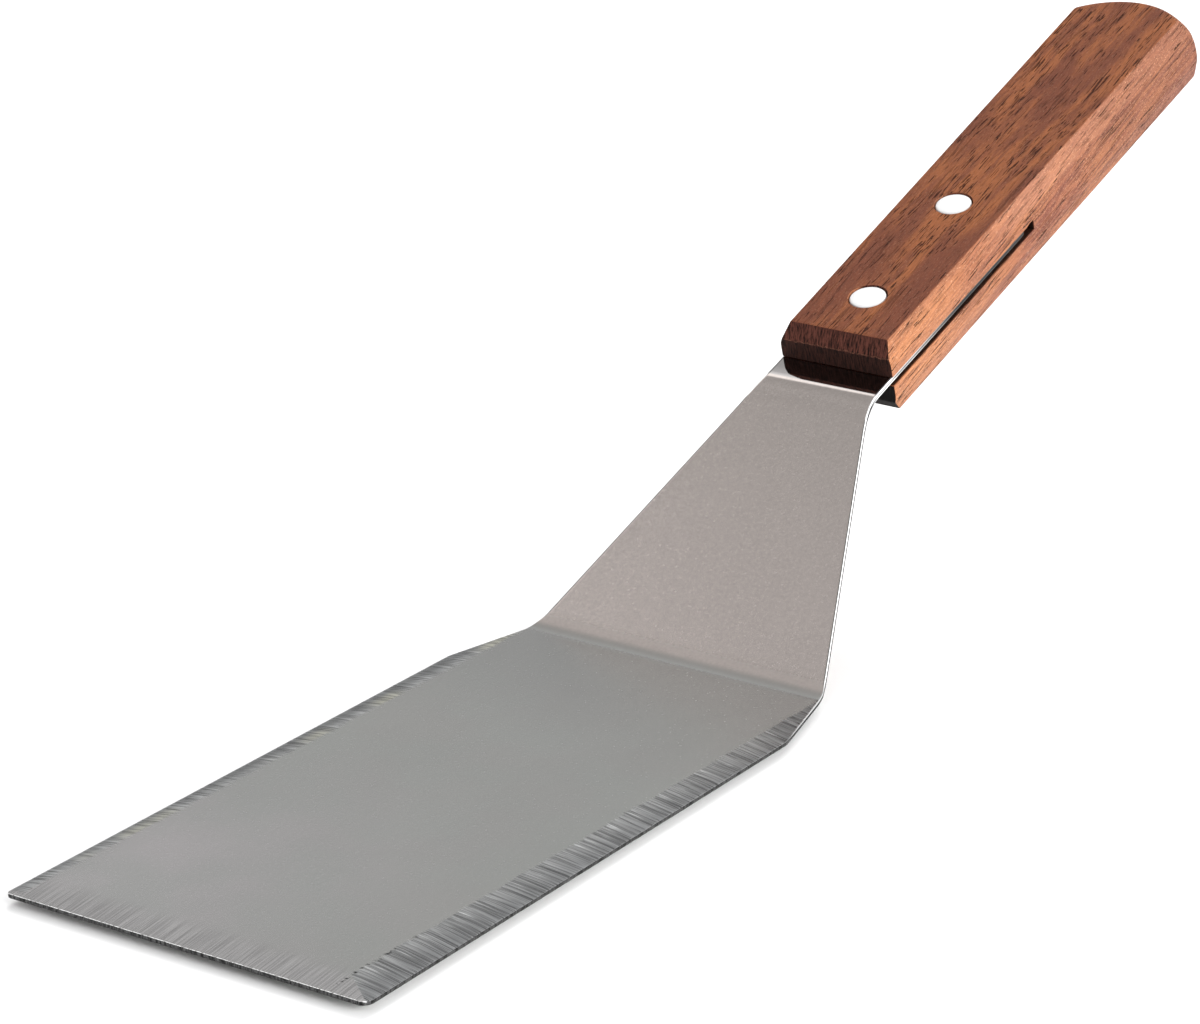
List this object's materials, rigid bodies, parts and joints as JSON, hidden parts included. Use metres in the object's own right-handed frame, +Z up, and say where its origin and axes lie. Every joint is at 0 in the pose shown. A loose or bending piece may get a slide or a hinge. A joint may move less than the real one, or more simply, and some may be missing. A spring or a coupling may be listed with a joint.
{
  "type": "grill spatula",
  "caption": "Flat steel turner with ground edges, a cranked neck and a slotted wooden handle riveted to the tang.",
  "frame": {"origin": "on the surface that the blade lies on, under the middle of the object's bounding box", "axes": "+Y from the working edge of the blade towards the end of the handle, +X to the right seen from the handle, +Z up"},
  "size_m": [0.0762, 0.3464, 0.0934],
  "materials": {
    "steel": "satin mill finish with coarse ground edges",
    "wood": "oiled open-pored reddish hardwood",
    "rivet": "satin, sanded flush with the wood"
  },
  "bodies": {
    "root": {"blade": "steel", "handle": "wood", "front_rivet_male": "rivet", "front_rivet_female": "rivet", "rear_rivet_male": "rivet", "rear_rivet_female": "rivet"}
  },
  "joints": []
}
